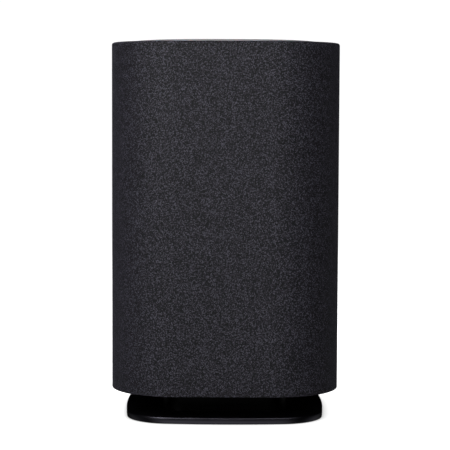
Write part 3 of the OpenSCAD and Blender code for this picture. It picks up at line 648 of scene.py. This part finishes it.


# ---------- Soft parts ---------------------------------------

def bend(piece, shares):
    """Bakes a piece's placement into its mesh and clips the shares to 0 to 1, which go no further."""
    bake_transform(piece)
    shares = np.clip(shares, 0, 1)


def corners(piece):
    """Vertex positions in mm."""
    return np.array([v.co for v in piece.data.vertices]) / MM


def copied(node, piece_name):
    """A separate mesh copy of a CAD node, in its own material."""
    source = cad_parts[node]
    made = bpy.data.objects.new(piece_name, source.data.copy())
    bpy.context.scene.collection.objects.link(made)
    slot = plain_name(source.material_slots[0].material)
    made.data.materials.clear()
    made.data.materials.append(MATERIALS[slot])
    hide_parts(node)
    return made


def flexing_copy(node, piece_name, centre, axis, inner, outer):
    """A copy of a CAD node in its own material, with its placement baked into its mesh."""
    made = copied(node, piece_name)
    across = np.delete(corners(made) - centre, axis, axis=1)
    bend(made, (outer - np.linalg.norm(across, axis=1)) / (outer - inner))


def key_domes():
    """The key mat as a plate with four holes, each filled by a dome."""
    top, low, nub = KEY_BOTTOM, KEY_BOTTOM - 0.6, KEY_BOTTOM - 0.85
    outer, pressed = 4.6, 3.1
    places = {body: place for body, (place, _, _) in KEYS.items()}
    plate = copied("key_mat", "key_mat_plate")
    circles = [arc_strip(0, outer, 0, 360, place, steps=48)[:48] for place in places.values()]
    cut(plate, slabs("openings", [(c, nub - 1, top + 1) for c in circles], MATERIALS["silicone"]))
    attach(plate, "housing")
    profile = [(0, nub), (1.6, nub), (1.6, low), (outer, low), (outer, top)]
    profile += [(radius, top) for radius in np.linspace(outer, pressed, 6)[1:]] + [(0, top)]
    for body, place in places.items():
        dome = revolve(f"{body}_dome", profile, MATERIALS["silicone"], on_top(*place), 48)
        points = corners(dome)
        radius = np.hypot(points[:, 0] - place[0], points[:, 1] - place[1])
        bend(dome, (points[:, 2] > top - 0.01) * (outer - radius) / (outer - pressed))


X_AXIS, Y_AXIS = 0, 1
WOOFER_CENTRE, RADIATOR_CENTRE = (0, 0, 91), (0, 0, 95)
flexing_copy("woofer_surround", "woofer_edge", WOOFER_CENTRE, Y_AXIS, 29.9, 34.4)
flexing_copy("woofer_spider", "woofer_corrugation", WOOFER_CENTRE, Y_AXIS, 12, 22.8)
for hand in ("left", "right"):
    flexing_copy(f"{hand}_radiator_surround", f"{hand}_radiator_edge",
                 RADIATOR_CENTRE, X_AXIS, 17.9, 23.1)
key_domes()


# ---------- CAD nodes that show as they are ----------

def edge_softened(name, width, segments, angle=35):
    """Rounds the crisp edges of a CAD node that shows. Width in mm, angle in degrees."""
    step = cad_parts[name].modifiers.new("soft_edges", "BEVEL")
    step.width = width * MM
    step.segments = segments
    step.limit_method = "ANGLE"
    step.angle_limit = math.radians(angle)
    step.harden_normals = True


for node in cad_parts.values():
    for held in node.material_slots:
        held.material = MATERIALS[plain_name(held.material)]
# Rounding in mm and its number of steps
SOFT_EDGES = {
    "control_panel": (0.12, 2), "port_panel": (0.3, 3), "pair_button": (0.25, 3),
    "ethernet_jack": (0.15, 2), "foot_pad": (0.2, 2), "bottom_cover": (0.25, 2),
}
for softened, (rounding, steps) in SOFT_EDGES.items():
    edge_softened(softened, rounding, steps)


# ---------- Camera, light and floor ----------

def studio_camera():
    """Looks along +Y from a little under the top of the object, with a long lens."""
    data = bpy.data.cameras.new("camera")
    data.lens = 128.3
    data.sensor_width = 36
    data.clip_end = 50
    made = bpy.data.objects.new("camera", data)
    bpy.context.scene.collection.objects.link(made)
    pitch, roll = math.radians(4.17), 0.0038
    made.location = (-0.0001, -0.761, 0.1424)
    made.rotation_mode = "QUATERNION"
    turn = Matrix.Rotation(math.pi / 2 - pitch, 3, "X") @ Matrix.Rotation(roll, 3, "Z")
    made.rotation_quaternion = turn.to_quaternion()
    bpy.context.scene.camera = made


def studio_floor():
    """A wide pale floor that runs into the background, with painted contact shadow where the object
    meets it.
    It throws no light back up and casts no shadow: the low lobes of the world stand in for it."""
    made, tree = new_material("floor_white")
    place = add_node(tree, "ShaderNodeTexCoord").outputs["Object"]
    pale = tinted(tree, speckle(tree, place, 0.05), (0.5, 0.5, 0.5), 0.01)
    # Painted contact shadow: the floor's glow is dimmed by ambient occlusion close to the object.
    painted_contact_shade = add_node(tree, "ShaderNodeAmbientOcclusion", {"Distance": 0.007}).outputs["AO"]
    glow = calculate(tree, "MULTIPLY", painted_contact_shade, 1.02)
    shade(tree, pale, 0.9, Specular_IOR_Level=0.0, Emission_Color=(1, 1, 1, 1), Emission_Strength=glow)
    far = 4000
    square = [(-far, -far, 0), (far, -far, 0), (far, far, 0), (-far, far, 0)]
    floor = mesh_object("floor", square, [(0, 1, 2, 3)], made)
    floor.visible_diffuse = False
    floor.visible_glossy = False
    floor.visible_shadow = False


def direction(azimuth, elevation):
    """Unit vector in degrees: azimuth 0 is over the camera and grows to the right."""
    a, e = math.radians(azimuth), math.radians(elevation)
    return (math.sin(a) * math.cos(e), -math.cos(a) * math.cos(e), math.sin(e))


def studio_world(lobes):
    """White where the camera sees it. Everything else is lit by soft lobes."""
    world = bpy.data.worlds.new("studio")
    world.use_nodes = True
    tree = world.node_tree
    tree.nodes.clear()
    toward = add_node(tree, "ShaderNodeTexCoord").outputs["Generated"]
    total = 0.0
    for azimuth, elevation, tightness, strength in lobes:
        facing = add_node(tree, "ShaderNodeVectorMath", {0: toward, 1: direction(azimuth, elevation)},
                          operation="DOT_PRODUCT").outputs["Value"]
        lobe = calculate(tree, "POWER", calculate(tree, "MAXIMUM", facing, 0.0), tightness)
        total = calculate(tree, "ADD", calculate(tree, "MULTIPLY", lobe, strength), total)
    seen = add_node(tree, "ShaderNodeBackground", {"Color": (1, 1, 1, 1), "Strength": 1.05})
    felt = add_node(tree, "ShaderNodeBackground", {"Color": (1, 1, 1, 1), "Strength": total})
    path = add_node(tree, "ShaderNodeLightPath")
    mixed = add_node(tree, "ShaderNodeMixShader",
                     {0: path.outputs["Is Camera Ray"], 1: felt.outputs[0], 2: seen.outputs[0]})
    add_node(tree, "ShaderNodeOutputWorld", {"Surface": mixed.outputs[0]})
    bpy.context.scene.world = world


def softbox(name, azimuth, elevation, watts, distance=0.7, size=0.35, aim=0.09):
    """A square area light that faces the middle of the object. One behind it stays out of reflections,
    so that the glossy panel is dark from in front."""
    data = bpy.data.lights.new(name, "AREA")
    data.shape = "SQUARE"
    data.size = size
    data.energy = watts
    made = bpy.data.objects.new(name, data)
    bpy.context.scene.collection.objects.link(made)
    toward = Vector(direction(azimuth, elevation))
    made.location = Vector((0, 0, aim)) + toward * distance
    made.rotation_mode = "QUATERNION"
    made.rotation_quaternion = toward.to_track_quat("Z", "Y")
    made.visible_camera = False
    made.visible_glossy = abs(azimuth) < 90


# Soft glow of the studio round the object: azimuth, elevation, tightness, strength.
# The low ones stand for light thrown back by the table.
LIGHT_LOBES = [
    (-15, -35, 12, 0.512), (15, -35, 12, 0.232), (0, 85, 8, 0.15), (-110, -25, 12, 0.15),
    (110, -25, 12, 0.25),
]
# Softboxes: azimuth, elevation, watts. The last ones are behind the object.
SOFTBOXES = [
    (15, 25, 0.62), (-30, 25, 2.74), (30, 25, 0.22), (-110, 42, 0.6),
    (110, 42, 0.8), (-150, 42, 1.2), (180, 42, 3.5),
]

studio_camera()
studio_floor()
studio_world(LIGHT_LOBES)
for number, (azimuth, elevation, watts) in enumerate(SOFTBOXES):
    softbox(f"softbox_{number}", azimuth, elevation, watts)
bpy.context.scene.view_settings.view_transform = "Standard"
